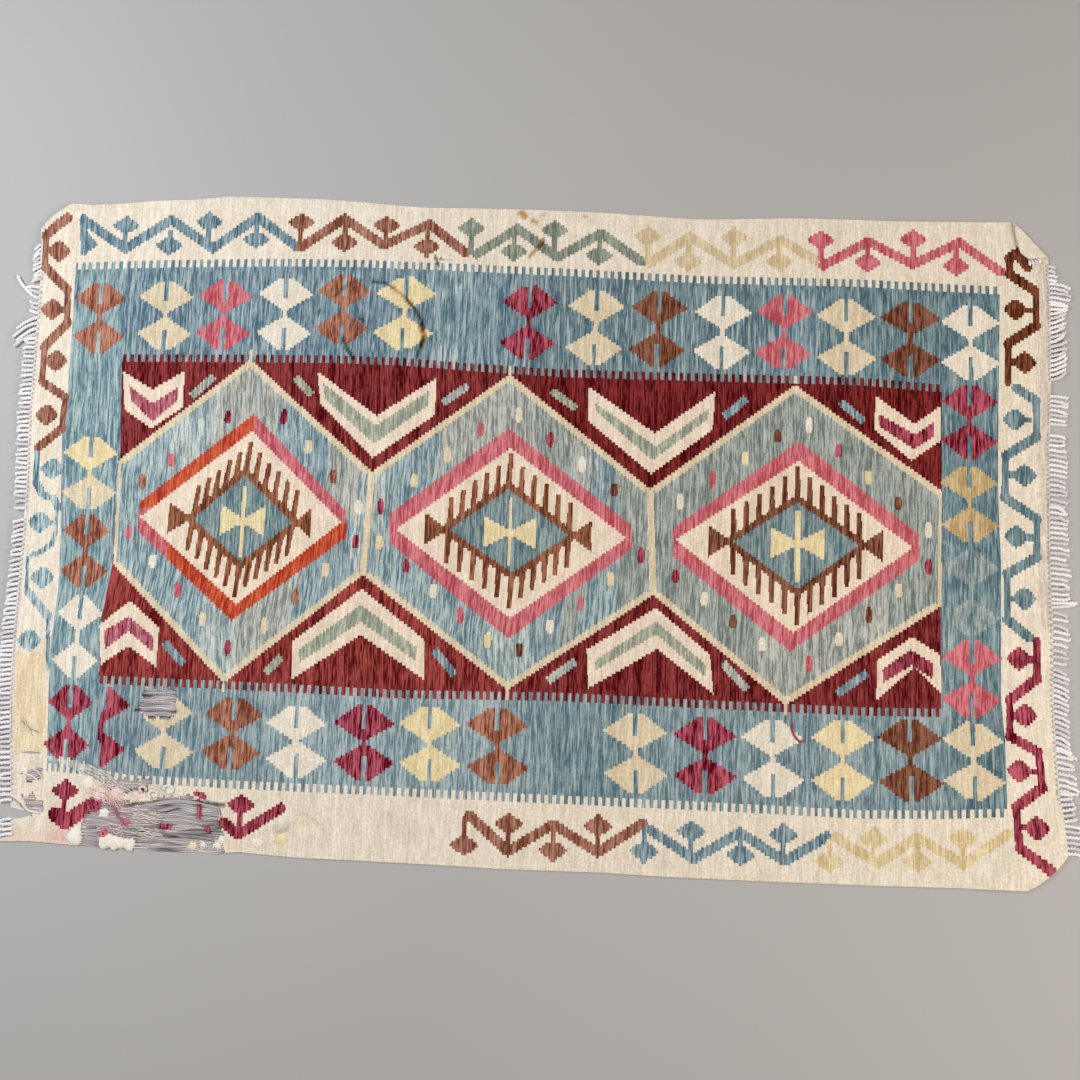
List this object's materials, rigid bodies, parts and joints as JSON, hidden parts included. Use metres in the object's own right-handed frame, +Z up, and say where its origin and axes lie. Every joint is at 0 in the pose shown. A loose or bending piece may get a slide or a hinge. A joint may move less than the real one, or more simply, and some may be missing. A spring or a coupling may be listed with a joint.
{
  "type": "kilim rug",
  "caption": "Flat-woven patterned kilim rug lying flat, with fringed short ends, turned corners and worn, torn edges.",
  "frame": {"origin": "centre of the rug's footprint, fringe included, on the floor", "axes": "+X along the warps (the rug's length), +Y along the wefts (its width), +Z up from the floor through the face"},
  "size_m": [1.6, 0.9905, 0.0067],
  "materials": {
    "wool_weave": "matte flat-woven wool",
    "warp_yarn": "matte twisted yarn"
  },
  "bodies": {
    "root": {"cloth": "wool_weave", "fringe_left": "warp_yarn", "fringe_left_corner": "warp_yarn", "fringe_right": "warp_yarn", "fringe_flap": "warp_yarn"}
  },
  "joints": []
}
